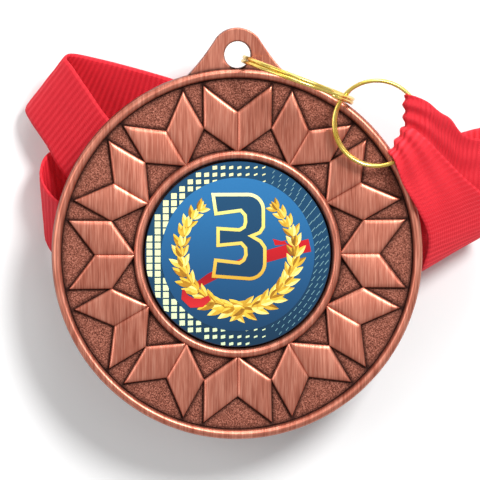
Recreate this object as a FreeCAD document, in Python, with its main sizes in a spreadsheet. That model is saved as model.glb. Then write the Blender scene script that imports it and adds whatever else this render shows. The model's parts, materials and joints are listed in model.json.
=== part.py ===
import FreeCAD
import Part
import math
import os
import Sketcher
from FreeCAD import Placement, Rotation, Vector

# A 50 mm cast medal on a grosgrain neck ribbon. It lies face up on its folded ribbon, +Z up,
# with the surface it lies on at z = 0 and the origin under the middle of the whole.

os.makedirs("parts", exist_ok=True)
doc = FreeCAD.newDocument("medal")

# ---- driving dimensions (mm, degrees) ----

sheet = doc.addObject("Spreadsheet::Sheet", "Dimensions")
DIMENSIONS = [
    ("medal_x", -4.74),            # disc centre, from the origin
    ("medal_y", -2.73),
    ("medal_back_z", 10.5),        # the medal's back, just above the folded ribbon
    ("disc_radius", 25.0),
    ("rim_height", 2.4),
    ("rim_inner_radius", 23.7),
    ("rim_edge", 0.4),             # the rim's outer edge, cut off at a slant
    ("relief_slope", 0.3),         # how far the walls of rim and bead lean in
    ("field_height", 1.45),        # stippled ground between rim and bead
    ("bead_outer_radius", 13.97),
    ("bead_inner_radius", 12.84),
    ("bead_height", 2.3),
    ("recess_height", 1.1),        # floor of the emblem's recess
    ("back_recess_radius", 22.6),
    ("back_recess_depth", 0.25),
    ("star_height", 0.6),          # rhombus above the ground
    ("star_sink", 0.1),            # how far a rhombus starts below the ground
    ("star_pairs", 12),
    ("star_inner_radius", 14.1),   # tip next to the bead
    ("star_notch_radius", 19.19),  # outer end of the edge a pair shares
    ("star_side_x", 4.43),         # corner beside the next pair
    ("star_side_y", 16.9),
    ("star_outer_x", 4.5),         # outer tip, off and along the pair's own radius
    ("star_outer_y", 22.6),
    ("tab_height", 2.0),
    ("tab_hole_y", 26.83),
    ("tab_hole_radius", 1.8),
    ("tab_tip_radius", 3.62),
    ("tab_root_x", 7.1),
    ("tab_root_y", 23.5),
    ("tab_inside_y", 24.2),        # the tab's inner end, within the rim
    ("emblem_radius", 12.5),
    ("emblem_thickness", 1.0),
    ("adhesive_radius", 12.1),
    ("adhesive_thickness", 0.1),
    ("ring_wire_radius", 0.275),
    ("ring_pitch", 0.57),          # the turns lie side by side
    ("link_ring_radius", 7.8),     # 16 mm outside
    ("link_ring_z", 12.5),
    ("link_ring_turn", -21.0),     # direction of its plane, from +X
    ("link_ring_start_x", 0.8),    # its wire in the tab's hole, from the disc centre
    ("link_ring_start_y", 26.25),
    ("ribbon_ring_radius", 5.725),  # 12 mm outside
    ("ribbon_ring_x", 18.7),
    ("ribbon_ring_y", 17.7),
    ("ribbon_ring_z", 14.2),
    ("ribbon_width", 11.0),
    ("ribbon_thickness", 0.45),
    ("hank_length", 27.0),
    ("hank_height", 10.1),
    ("hank_x", 7.0),
    ("hank_y", 1.5),
    ("gather_height", 3.0),
    ("gather_bore_radius", 0.95),  # the ring's way through the gathered ribbon
    ("stitch_radius", 0.2),
    ("stitch_length", 1.2),
    ("stitch_x", 26.3),
    ("stitch_y", 13.3),
    ("stitch_pitch", 1.56),
]
RING_SEGMENTS = 4                  # two half rounds and two straight sides
STITCHES = 4
STEPS = 3                          # sections between two stations of the ribbon

size = dict(DIMENSIONS)
for row, (alias, number) in enumerate(DIMENSIONS, start=1):
    sheet.set(f"A{row}", alias)
    sheet.set(f"B{row}", str(number))
    sheet.setAlias(f"B{row}", alias)
doc.recompute()

MEDAL = Vector(size["medal_x"], size["medal_y"], size["medal_back_z"])


def bind(target, **expressions):
    """Tie properties of an object to cells of the sheet."""
    for name, expression in expressions.items():
        target.setExpression(name, expression)


def from_disc(x, y, z=0.0):
    """A point given from the disc's centre in plan and from the ground in height."""
    return Vector(MEDAL.x + x, MEDAL.y + y, z)


def total(text):
    """The value of a sum of the sheet's names, such as "rim_height - rim_edge". No names, no length."""
    value = 0.0
    sign = 1
    for word in text.split():
        if word in "+-":
            sign = 1 if word == "+" else -1
        else:
            value += sign * size[word]
    return value


def cells(text):
    """The same sum as an expression of the sheet's cells."""
    return " ".join(word if word in "+-" else f"Dimensions.{word}" for word in text.split())


def put(thing, x, y, z, turn=Rotation()):
    """Place a piece by three sums of the sheet's names."""
    thing.Placement = Placement(Vector(total(x), total(y), total(z)), turn)
    for axis, text in (("x", x), ("y", y), ("z", z)):
        if text:
            thing.setExpression(f"Placement.Base.{axis}", cells(text))


# ---- sketch helpers ----

def body_plane(body, role):
    return next(f for f in body.Origin.OriginFeatures if f.Role == role)


def new_body(label):
    body = doc.addObject("PartDesign::Body", label)
    body.Label = label
    return body


def new_sketch(body, name, role, offset=0.0):
    sketch = body.newObject("Sketcher::SketchObject", name)
    sketch.AttachmentSupport = (body_plane(body, role), "")
    sketch.MapMode = "FlatFace"
    sketch.AttachmentOffset = Placement(Vector(0, 0, offset), Rotation())
    return sketch


def measured(sketch, kind, geometry, point, text):
    """Hold a point of the sketch at a distance from its origin, by a sum of the sheet's names."""
    index = sketch.addConstraint(Sketcher.Constraint(kind, -1, 1, geometry, point, total(text)))
    if text:
        sketch.setExpression(f"Constraints[{index}]", cells(text))


def with_radius(sketch, geometry, name):
    index = sketch.addConstraint(Sketcher.Constraint("Radius", geometry, size[name]))
    sketch.setExpression(f"Constraints[{index}]", cells(name))


def closed_outline(sketch, corners):
    """Straight edges through the corners. Each corner is a pair of sums, for x and for y."""
    here = [Vector(total(x), total(y), 0) for x, y in corners]
    count = len(corners)
    for k in range(count):
        sketch.addGeometry(Part.LineSegment(here[k], here[(k + 1) % count]), False)
    for k in range(count):
        sketch.addConstraint(Sketcher.Constraint("Coincident", k, 2, (k + 1) % count, 1))
    for k, (x, y) in enumerate(corners):
        measured(sketch, "DistanceX", k, 1, x)
        measured(sketch, "DistanceY", k, 1, y)


# ---- the medal: a cast disc with rim, bead, star relief and tab ----

def add_disc(body):
    profile = new_sketch(body, "disc_section", "XZ_Plane")
    closed_outline(profile, [
        ("", "back_recess_depth"),
        ("back_recess_radius", "back_recess_depth"),
        ("back_recess_radius", ""),
        ("disc_radius", ""),
        ("disc_radius", "rim_height - rim_edge"),
        ("disc_radius - rim_edge", "rim_height"),
        ("rim_inner_radius + relief_slope", "rim_height"),
        ("rim_inner_radius", "field_height"),
        ("bead_outer_radius", "field_height"),
        ("bead_outer_radius - relief_slope", "bead_height"),
        ("bead_inner_radius + relief_slope", "bead_height"),
        ("bead_inner_radius", "recess_height"),
        ("", "recess_height"),
    ])
    disc = body.newObject("PartDesign::Revolution", "disc")
    disc.Profile = profile
    disc.ReferenceAxis = (profile, ["V_Axis"])
    disc.Angle = 360.0
    doc.recompute()


def add_tab(body):
    """The eyelet's plate: a round tip whose tangents run down into the disc."""
    outline = new_sketch(body, "tab_outline", "XY_Plane")
    tip = size["tab_tip_radius"]
    hole_y = size["tab_hole_y"]
    drop = hole_y - size["tab_root_y"]
    touch_angle = math.acos(tip / math.hypot(size["tab_root_x"], drop)) - math.atan2(drop, size["tab_root_x"])
    right_touch = Vector(tip * math.cos(touch_angle), hole_y + tip * math.sin(touch_angle), 0)
    left_touch = Vector(-right_touch.x, right_touch.y, 0)
    right_root = Vector(size["tab_root_x"], size["tab_root_y"], 0)
    left_root = Vector(-right_root.x, right_root.y, 0)
    inside = Vector(0, size["tab_inside_y"], 0)
    tip_arc, left_flank, left_foot, right_foot, right_flank = range(5)
    outline.addGeometry([
        Part.Arc(right_touch, Vector(0, hole_y + tip, 0), left_touch),
        Part.LineSegment(left_touch, left_root),
        Part.LineSegment(left_root, inside),
        Part.LineSegment(inside, right_root),
        Part.LineSegment(right_root, right_touch),
    ], False)
    for near, far, kind in ((tip_arc, left_flank, "Tangent"), (left_flank, left_foot, "Coincident"),
                            (left_foot, right_foot, "Coincident"), (right_foot, right_flank, "Coincident"),
                            (right_flank, tip_arc, "Tangent")):
        outline.addConstraint(Sketcher.Constraint(kind, near, 2, far, 1))
    measured(outline, "DistanceX", tip_arc, 3, "")
    measured(outline, "DistanceY", tip_arc, 3, "tab_hole_y")
    with_radius(outline, tip_arc, "tab_tip_radius")
    for foot, x in ((left_foot, "- tab_root_x"), (right_flank, "tab_root_x")):
        measured(outline, "DistanceX", foot, 1, x)
        measured(outline, "DistanceY", foot, 1, "tab_root_y")
    measured(outline, "DistanceX", right_foot, 1, "")
    measured(outline, "DistanceY", right_foot, 1, "tab_inside_y")
    tab = body.newObject("PartDesign::Pad", "tab")
    tab.Profile = outline
    bind(tab, Length=cells("tab_height"))
    doc.recompute()


def add_star(body):
    """Pairs of rhombi all round, each pair joined along the edge on its own radius."""
    rhombi = new_sketch(body, "star_outline", "XY_Plane", total("field_height - star_sink"))
    closed_outline(rhombi, [
        ("", "star_inner_radius"),
        ("star_side_x", "star_side_y"),
        ("star_outer_x", "star_outer_y"),
        ("", "star_notch_radius"),
        ("- star_outer_x", "star_outer_y"),
        ("- star_side_x", "star_side_y"),
    ])
    pair = body.newObject("PartDesign::Pad", "star_pair")
    pair.Profile = rhombi
    bind(pair, Length=cells("star_height + star_sink"))
    doc.recompute()
    star = body.newObject("PartDesign::PolarPattern", "star")
    star.Originals = [pair]
    star.Axis = (body_plane(body, "Z_Axis"), [""])
    star.Angle = 360.0
    bind(star, Occurrences=cells("star_pairs"))
    body.Tip = star
    doc.recompute()


def cut_eye(body):
    """The tab's hole, right through."""
    eye = new_sketch(body, "tab_eye", "XY_Plane")
    middle = Vector(0, size["tab_hole_y"], 0)
    eye.addGeometry(Part.Circle(middle, Vector(0, 0, 1), size["tab_hole_radius"]), False)
    with_radius(eye, 0, "tab_hole_radius")
    measured(eye, "DistanceX", 0, 3, "")
    measured(eye, "DistanceY", 0, 3, "tab_hole_y")
    uncut_volume = body.Shape.Volume
    hole = body.newObject("PartDesign::Pocket", "tab_hole")
    hole.Profile = eye
    hole.Type = "ThroughAll"
    hole.Midplane = True
    doc.recompute()
    if body.Shape.Volume >= uncut_volume:
        raise SystemExit("the tab's hole cuts nothing")


def make_medal_body():
    body = new_body("medal_body")
    add_disc(body)
    add_tab(body)
    add_star(body)
    cut_eye(body)
    put(body, "medal_x", "medal_y", "medal_back_z")
    return body


# ---- the emblem: a printed plate on a thin adhesive pad in the disc's recess ----

def make_disc_piece(label, radius, thickness, base):
    """A round plate on the medal's axis; base is the sum that gives its underside."""
    plate = doc.addObject("Part::Cylinder", label)
    plate.Label = label
    bind(plate, Radius=cells(radius), Height=cells(thickness))
    put(plate, "medal_x", "medal_y", "medal_back_z + " + base)
    return plate


# ---- split rings: the two turns, pressed side by side, as one ring of their joint section ----

def make_split_ring(label, radius, centre, axis):
    ring = new_body(label)
    section = new_sketch(ring, label + "_section", "XZ_Plane")
    across = size["ring_wire_radius"]
    middle = size[radius]
    turn = size["ring_pitch"] / 2
    near = middle - across
    far = middle + across
    section.addGeometry([
        Part.Arc(Vector(far, turn, 0), Vector(middle, turn + across, 0), Vector(near, turn, 0)),
        Part.LineSegment(Vector(near, turn, 0), Vector(near, -turn, 0)),
        Part.Arc(Vector(near, -turn, 0), Vector(middle, -turn - across, 0), Vector(far, -turn, 0)),
        Part.LineSegment(Vector(far, -turn, 0), Vector(far, turn, 0)),
    ], False)
    for first in range(RING_SEGMENTS):
        section.addConstraint(Sketcher.Constraint("Coincident", first, 2, (first + 1) % RING_SEGMENTS, 1))
    measured(section, "DistanceX", 0, 3, radius)
    with_radius(section, 0, "ring_wire_radius")
    wound = ring.newObject("PartDesign::Revolution", label + "_turns")
    wound.Profile = section
    wound.ReferenceAxis = (section, ["V_Axis"])
    wound.Angle = 360.0
    doc.recompute()
    ring.Placement = Placement(centre, Rotation(Vector(0, 0, 1), axis))
    return ring


# ---- the ribbon: strips through stations, each one a top and a bottom selvedge point ----

def smooth_stations(stations):
    """Catmull-Rom between the stations, which stay on the line."""
    count = len(stations)
    out = []
    for k in range(count - 1):
        before = stations[max(k - 1, 0)]
        start = stations[k]
        end = stations[k + 1]
        after = stations[min(k + 2, count - 1)]
        for j in range(STEPS):
            u = j / STEPS
            out.append([
                start[i] + ((end[i] - before[i]) * u
                            + (before[i] * 2 - start[i] * 5 + end[i] * 4 - after[i]) * u ** 2
                            + (start[i] * 3 - before[i] - end[i] * 3 + after[i]) * u ** 3) * 0.5
                for i in (0, 1)
            ])
    out.append(list(stations[-1]))
    return out


def strip_sections(stations):
    """Rectangular cross-sections, ribbon_thickness thick, along the strip."""
    path = smooth_stations([[from_disc(*top), from_disc(*low)] for top, low in stations])
    sections = []
    for k, (top, low) in enumerate(path):
        ahead = path[min(k + 1, len(path) - 1)]
        behind = path[max(k - 1, 0)]
        travel = (ahead[0] + ahead[1]) - (behind[0] + behind[1])
        normal = travel.cross(top - low)
        normal.normalize()
        step = normal * (size["ribbon_thickness"] / 2)
        sections.append([top + step, top - step, low - step, low + step])
    return sections


def make_strip(label, sections):
    """A closed solid through the sections, which the next stretch shares."""
    faces = []

    def add_quad(a, b, c, d):
        for triangle in ((a, b, c), (a, c, d)):
            faces.append(Part.Face(Part.makePolygon([*triangle, triangle[0]])))

    for near, far in zip(sections, sections[1:]):
        for k in range(4):
            add_quad(near[k], near[(k + 1) % 4], far[(k + 1) % 4], far[k])
    add_quad(*sections[0])
    add_quad(*sections[-1])
    solid = Part.Solid(Part.Shell(faces))
    if solid.Volume < 0:
        solid.reverse()
    strip = doc.addObject("Part::Feature", label)
    strip.Label = label
    strip.Shape = solid
    return strip


def make_strips(stretches):
    """Stretches of one ribbon, end to end: each starts at the last station of the one before."""
    stations = [station for _, own in stretches for station in own]
    sections = strip_sections(stations)
    strips = []
    first = 0
    last = -1
    for label, own in stretches:
        last += len(own)
        strips.append(make_strip(label, sections[first * STEPS:last * STEPS + 1]))
        first = last
    return strips


# Each station is (top selvedge), (bottom selvedge), from the disc's centre and the ground.
LEG_TO_HANK = [
    ("ribbon_right_loop", [
        ((25.6, 14.8, 14.1), (22.7, 12.0, 13.9)),
        ((29.6, 12.2, 12.9), (23.0, 9.6, 13.75)),
        ((33.0, 9.4, 11.0), (24.2, 6.6, 13.3)),
        ((34.8, 6.2, 8.6), (25.75, 3.3, 11.9)),
        ((35.0, 3.6, 6.4), (25.9, 0.4, 10.1)),
        ((34.5, 2.2, 4.2), (25.3, -2.4, 8.0)),
        ((33.2, 2.6, 1.9), (24.6, -3.1, 5.6)),
        ((30.6, 4.0, 0.7), (23.4, -3.2, 3.4)),
        ((27.0, 5.2, 0.5), (22.6, -3.6, 1.8)),
        ((23.0, 6.6, 0.45), (22.0, -4.0, 0.6)),
        ((21.2, 7.0, 0.4), (21.2, -4.0, 0.4)),
    ]),
]
HANK_TO_RING = [
    ("ribbon_lower_left_loop", [
        ((-6.9, 7.0, 9.75), (-6.9, -4.0, 9.6)),
        ((-12.0, 6.0, 9.7), (-12.0, -4.6, 8.4)),
        ((-17.0, 5.0, 9.4), (-17.2, -4.6, 4.9)),
        ((-21.2, 5.3, 8.9), (-21.5, -3.5, 2.5)),
        ((-24.2, 7.1, 8.4), (-23.9, -1.3, 1.6)),
        ((-26.0, 9.4, 7.2), (-25.3, 0.9, 1.0)),
        ((-26.2, 11.6, 5.4), (-25.1, 2.2, 0.5)),
        ((-25.0, 13.4, 3.8), (-23.8, 3.2, 0.35)),
        ((-22.0, 14.6, 2.8), (-20.4, 4.0, 0.3)),
        ((-18.6, 15.2, 2.2), (-17.4, 4.6, 0.3)),
    ]),
    ("ribbon_hidden_turn", [
        ((-14.4, 15.2, 2.8), (-14.2, 4.6, 0.4)),
        ((-10.6, 14.4, 4.2), (-12.0, 4.2, 1.4)),
        ((-8.8, 13.2, 6.2), (-11.4, 3.8, 3.0)),
        ((-9.4, 13.0, 8.2), (-13.0, 4.0, 4.8)),
        ((-12.2, 14.2, 9.5), (-16.8, 5.2, 5.8)),
    ]),
    ("ribbon_upper_left_loop", [
        ((-16.9, 17.8, 9.7), (-22.8, 10.2, 5.4)),
        ((-19.9, 21.9, 9.4), (-25.5, 14.5, 5.0)),
        ((-22.0, 25.0, 8.8), (-27.5, 17.5, 4.2)),
        ((-22.9, 26.3, 7.6), (-28.2, 19.1, 2.6)),
        ((-21.9, 26.8, 6.4), (-27.0, 19.6, 1.2)),
        ((-18.4, 26.1, 6.0), (-22.4, 17.6, 0.5)),
        ((-13.4, 24.8, 5.9), (-16.0, 16.2, 0.4)),
    ]),
    ("ribbon_crossing_run", [
        ((-7.0, 22.9, 4.4), (-8.4, 12.8, 0.4)),
        ((0.0, 20.6, 2.4), (-0.6, 9.9, 0.4)),
        ((7.0, 19.2, 2.2), (7.0, 8.4, 0.4)),
        ((14.0, 17.2, 4.6), (14.6, 7.9, 0.5)),
        ((20.2, 13.9, 8.2), (21.6, 7.8, 0.9)),
    ]),
    ("ribbon_upper_right_leg", [
        ((25.4, 13.2, 7.6), (26.4, 7.5, 0.9)),
        ((30.4, 15.4, 1.9), (31.0, 7.0, 0.6)),
        ((34.8, 16.6, 1.1), (34.4, 7.6, 0.8)),
        ((37.4, 17.2, 3.0), (36.6, 8.4, 3.0)),
        ((37.3, 17.0, 6.0), (36.5, 8.6, 5.8)),
        ((34.4, 16.2, 8.8), (33.4, 8.4, 8.6)),
        ((30.6, 16.1, 10.9), (29.9, 8.4, 10.0)),
        ((28.4, 18.3, 12.3), (27.6, 10.8, 11.5)),
        ((26.4, 19.6, 13.4), (26.2, 13.8, 13.0)),
    ]),
]


def make_hank():
    """The rest of the ribbon, folded to and fro in one flat stack."""
    hank = doc.addObject("Part::Box", "ribbon_hank")
    hank.Label = "ribbon_hank"
    bind(hank, Length=cells("hank_length"), Width=cells("ribbon_width"), Height=cells("hank_height"))
    corner = from_disc(size["hank_x"] - size["hank_length"] / 2, size["hank_y"] - size["ribbon_width"] / 2)
    hank.Placement = Placement(corner, Rotation())
    return hank


def make_gather():
    """Both ribbon ends, folded over the ribbon ring and sewn: a pad with the ring's way through."""
    outline = [(22.3, 21.7), (25.8, 20.6), (26.8, 20.0), (27.4, 14.4), (25.2, 12.9), (21.9, 12.8), (22.0, 17.1)]
    base = size["ribbon_ring_z"] - size["gather_height"] / 2
    wire = Part.makePolygon([from_disc(x, y, base) for x, y in outline + outline[:1]])
    pad = doc.addObject("Part::Feature", "gather_pad")
    pad.Shape = Part.Face(wire).extrude(Vector(0, 0, size["gather_height"]))
    tunnel = doc.addObject("Part::Torus", "gather_tunnel")
    bind(tunnel, Radius1=cells("ribbon_ring_radius"), Radius2=cells("gather_bore_radius"))
    put(tunnel, "medal_x + ribbon_ring_x", "medal_y + ribbon_ring_y", "ribbon_ring_z")
    gather = doc.addObject("Part::Cut", "ribbon_gather")
    gather.Label = "ribbon_gather"
    gather.Base = pad
    gather.Tool = tunnel
    return gather


def make_stitching():
    """A row of stitches under the gathered ends holds the fold closed round the ring."""
    stitches = []
    level = size["ribbon_ring_z"] - size["gather_height"] / 2 - size["stitch_radius"] / 2
    for k in range(STITCHES):
        stitch = doc.addObject("Part::Cylinder", f"stitch_{k}")
        bind(stitch, Radius=cells("stitch_radius"), Height=cells("stitch_length"))
        spot = from_disc(size["stitch_x"], size["stitch_y"] + k * size["stitch_pitch"], level)
        stitch.Placement = Placement(spot, Rotation(Vector(1, 0, 0), -90))
        stitches.append(stitch)
    group = doc.addObject("Part::Compound", "ribbon_stitching")
    group.Label = "ribbon_stitching"
    group.Links = stitches
    return group


turn = math.radians(size["link_ring_turn"])
tab_side = Vector(math.cos(turn), math.sin(turn), 0)
link_start = from_disc(size["link_ring_start_x"], size["link_ring_start_y"], size["link_ring_z"])
link_centre = link_start + tab_side * size["link_ring_radius"]
link_axis = Vector(-tab_side.y, tab_side.x, 0)
ribbon_ring_centre = from_disc(size["ribbon_ring_x"], size["ribbon_ring_y"], size["ribbon_ring_z"])

pieces = [
    make_medal_body(),
    make_disc_piece("emblem_adhesive", "adhesive_radius", "adhesive_thickness", "recess_height"),
    make_disc_piece("emblem_plate", "emblem_radius", "emblem_thickness",
                    "recess_height + adhesive_thickness"),
    make_split_ring("link_ring", "link_ring_radius", link_centre, link_axis),
    make_split_ring("ribbon_ring", "ribbon_ring_radius", ribbon_ring_centre, Vector(0, 0, 1)),
    make_gather(),
    make_stitching(),
    make_hank(),
    *make_strips(LEG_TO_HANK),
    *make_strips(HANK_TO_RING),
]
doc.recompute()

for thing in doc.Objects:
    if {"Invalid", "Error"} & set(thing.State):
        raise SystemExit(f"{thing.Label} failed: {thing.State}")
for piece in pieces:
    if piece.Shape.isNull() or not piece.Shape.isValid() or piece.Shape.Volume <= 0:
        raise SystemExit(f"{piece.Label} has no valid solid")
box = pieces[0].Shape.optimalBoundingBox()
for piece in pieces:
    own = piece.Shape.optimalBoundingBox()
    box.add(own)
    piece.Shape.exportStep(f"parts/{piece.Label}.step")
    print(f"{piece.Label}: {piece.Shape.Volume:.1f} mm3, z {own.ZMin:.2f} to {own.ZMax:.2f}")
print(f"box {box.XMin:.2f}..{box.XMax:.2f}  {box.YMin:.2f}..{box.YMax:.2f}  {box.ZMin:.2f}..{box.ZMax:.2f}")
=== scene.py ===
import json
import math
import random

import bmesh
import bpy
import numpy as np
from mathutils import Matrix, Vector


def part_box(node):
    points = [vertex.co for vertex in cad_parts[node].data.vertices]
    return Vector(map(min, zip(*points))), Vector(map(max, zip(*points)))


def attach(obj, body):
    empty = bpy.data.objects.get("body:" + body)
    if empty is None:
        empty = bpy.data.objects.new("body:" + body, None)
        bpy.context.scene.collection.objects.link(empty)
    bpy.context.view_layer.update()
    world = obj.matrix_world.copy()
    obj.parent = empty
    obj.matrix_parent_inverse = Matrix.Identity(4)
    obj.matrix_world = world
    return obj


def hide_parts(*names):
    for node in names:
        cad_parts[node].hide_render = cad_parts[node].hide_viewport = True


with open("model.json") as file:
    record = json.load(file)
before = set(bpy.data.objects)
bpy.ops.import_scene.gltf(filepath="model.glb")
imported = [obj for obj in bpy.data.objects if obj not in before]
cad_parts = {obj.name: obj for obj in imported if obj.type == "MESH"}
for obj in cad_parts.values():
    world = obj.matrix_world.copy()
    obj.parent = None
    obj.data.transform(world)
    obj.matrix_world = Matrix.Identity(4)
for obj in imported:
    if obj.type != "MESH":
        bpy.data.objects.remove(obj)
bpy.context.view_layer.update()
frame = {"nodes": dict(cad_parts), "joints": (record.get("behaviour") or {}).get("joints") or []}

# All lengths in this script are metres; MM turns a millimetre figure into metres.
MM = 0.001

# ---- places from the frame ----

plate_low, plate_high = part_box("emblem_plate")
body_low, body_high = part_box("medal_body")
link_low, link_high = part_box("link_ring")
ring_low, ring_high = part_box("ribbon_ring")

MEDAL_X = (plate_low[0] + plate_high[0]) / 2
MEDAL_Y = (plate_low[1] + plate_high[1]) / 2
BACK_Z = body_low[2]
FRONT_Z = body_high[2]
EMBLEM_Z = plate_high[2]


def at(x, y, z=0.0):
    """A point given in mm from the disc's centre in plan and from the floor in height."""
    return Vector((MEDAL_X + x * MM, MEDAL_Y + y * MM, z * MM))


# ---- camera, floor and light ----

IMAGE_WIDTH = 64.5 * MM
CAMERA_DISTANCE = 0.62
CAMERA_TILT = math.radians(5.5)
CAMERA_SIDE = math.radians(135.0)     # it leans to the upper left of the medal
AIM_X, AIM_Y = 0.27, 1.96             # where it looks, mm from the disc's centre
SENSOR_WIDTH = 36.0
FLOOR_REACH = 3.0
FLOOR_GREY = (0.86, 0.86, 0.86, 1)
WORLD_STRENGTH = 0.46
LIGHT_AIM_Z_MM = 10
# name, place from the point they all face (m), width (m), power (W)
LIGHTS = (("key", (0.25, 0.35, 0.55), 0.22, 4.6),
          ("fill", (-0.45, 0.1, 0.4), 0.4, 1.1),
          ("rim", (0.05, 0.6, 0.25), 0.3, 1.6))


def make_camera():
    target = at(AIM_X, AIM_Y) + Vector((0, 0, FRONT_Z))
    data = bpy.data.cameras.new("camera")
    data.sensor_width = SENSOR_WIDTH
    data.lens = SENSOR_WIDTH * CAMERA_DISTANCE / IMAGE_WIDTH
    data.clip_start = 0.01
    camera = bpy.data.objects.new("camera", data)
    lean = Vector((math.cos(CAMERA_SIDE), math.sin(CAMERA_SIDE), 0)) * math.sin(CAMERA_TILT)
    away = lean + Vector((0, 0, math.cos(CAMERA_TILT)))
    camera.location = target + away * CAMERA_DISTANCE
    # the frame's upright is +Y, so the picture isn't turned by the lean
    right = Vector((0, 1, 0)).cross(away).normalized()
    upright = away.cross(right)
    matrix = camera.matrix_world.copy()
    for column, axis in enumerate((right, upright, away)):
        for row in range(3):
            matrix[row][column] = axis[row]
    matrix.translation = camera.location
    camera.matrix_world = matrix
    bpy.context.scene.collection.objects.link(camera)
    bpy.context.scene.camera = camera


def area_light(name, place, target, width, power):
    data = bpy.data.lights.new(name, "AREA")
    data.shape = "DISK"
    data.size = width
    data.energy = power
    lamp = bpy.data.objects.new(name, data)
    lamp.location = place
    lamp.rotation_euler = (target - place).to_track_quat("-Z", "Y").to_euler()
    bpy.context.scene.collection.objects.link(lamp)


def make_stage():
    mesh = bpy.data.meshes.new("floor")
    corners = [(x * FLOOR_REACH, y * FLOOR_REACH, 0) for x, y in ((-1, -1), (1, -1), (1, 1), (-1, 1))]
    mesh.from_pydata(corners, [], [(0, 1, 2, 3)])
    floor = bpy.data.objects.new("floor", mesh)
    bpy.context.scene.collection.objects.link(floor)
    material = bpy.data.materials.new("floor")
    material.use_nodes = True
    shader = material.node_tree.nodes["Principled BSDF"]
    shader.inputs["Base Color"].default_value = FLOOR_GREY
    shader.inputs["Roughness"].default_value = 0.9
    mesh.materials.append(material)
    world = bpy.data.worlds.new("studio")
    world.use_nodes = True
    world.node_tree.nodes["Background"].inputs[0].default_value = (1, 1, 1, 1)
    world.node_tree.nodes["Background"].inputs[1].default_value = WORLD_STRENGTH
    bpy.context.scene.world = world
    middle = at(0, 0, LIGHT_AIM_Z_MM)
    for name, away, width, power in LIGHTS:
        area_light(name, middle + Vector(away), middle, width, power)


# ---- material helpers ----

class Nodes:
    """Short calls for building a node tree."""

    def __init__(self, name):
        self.material = bpy.data.materials.new(name)
        self.material.use_nodes = True
        self.tree = self.material.node_tree
        self.shader = self.tree.nodes["Principled BSDF"]

    def add(self, kind, **values):
        node = self.tree.nodes.new(kind)
        for key, value in values.items():
            setattr(node, key, value)
        return node

    def link(self, source, target):
        self.tree.links.new(source, target)

    def value(self, target, source):
        if isinstance(source, (int, float, tuple)):
            target.default_value = source
        else:
            self.link(source, target)

    def place(self):
        return self.add("ShaderNodeTexCoord").outputs["Object"]

    def mapped(self, vector, scale, turn=0.0):
        node = self.add("ShaderNodeMapping")
        node.inputs["Scale"].default_value = scale
        node.inputs["Rotation"].default_value = (0, 0, turn)
        self.link(vector, node.inputs["Vector"])
        return node.outputs["Vector"]

    def noise(self, vector, scale, detail=3.0, rough=0.55):
        node = self.add("ShaderNodeTexNoise")
        node.inputs["Scale"].default_value = scale
        node.inputs["Detail"].default_value = detail
        node.inputs["Roughness"].default_value = rough
        self.link(vector, node.inputs["Vector"])
        return node.outputs["Fac"]

    def ramp(self, factor, stops):
        node = self.add("ShaderNodeValToRGB")
        while len(node.color_ramp.elements) < len(stops):
            node.color_ramp.elements.new(0.5)
        for element, (place, colour) in zip(node.color_ramp.elements, stops):
            element.position = place
            element.color = colour if isinstance(colour, tuple) else (colour, colour, colour, 1)
        self.link(factor, node.inputs["Fac"])
        return node.outputs["Color"]

    def mix(self, factor, first, second, how="MIX"):
        node = self.add("ShaderNodeMix", data_type="RGBA", blend_type=how)
        self.value(node.inputs["Factor"], factor)
        self.value(node.inputs["A"], first)
        self.value(node.inputs["B"], second)
        return node.outputs["Result"]

    def math(self, how, first, second=0.0, third=0.0):
        node = self.add("ShaderNodeMath", operation=how)
        self.value(node.inputs[0], first)
        self.value(node.inputs[1], second)
        self.value(node.inputs[2], third)
        return node.outputs[0]

    def attribute(self, name):
        return self.add("ShaderNodeAttribute", attribute_name=name).outputs["Fac"]

    def bump(self, height, strength, distance, before=None):
        node = self.add("ShaderNodeBump")
        node.inputs["Strength"].default_value = strength
        node.inputs["Distance"].default_value = distance
        self.link(height, node.inputs["Height"])
        if before is not None:
            self.link(before, node.inputs["Normal"])
        return node.outputs["Normal"]


def srgb(red, green, blue):
    """A linear colour from 0 to 255 display values."""
    def linear(value):
        value /= 255.0
        return value / 12.92 if value <= 0.04045 else ((value + 0.055) / 1.055) ** 2.4
    return (linear(red), linear(green), linear(blue), 1.0)


# ---- materials ----

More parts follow.
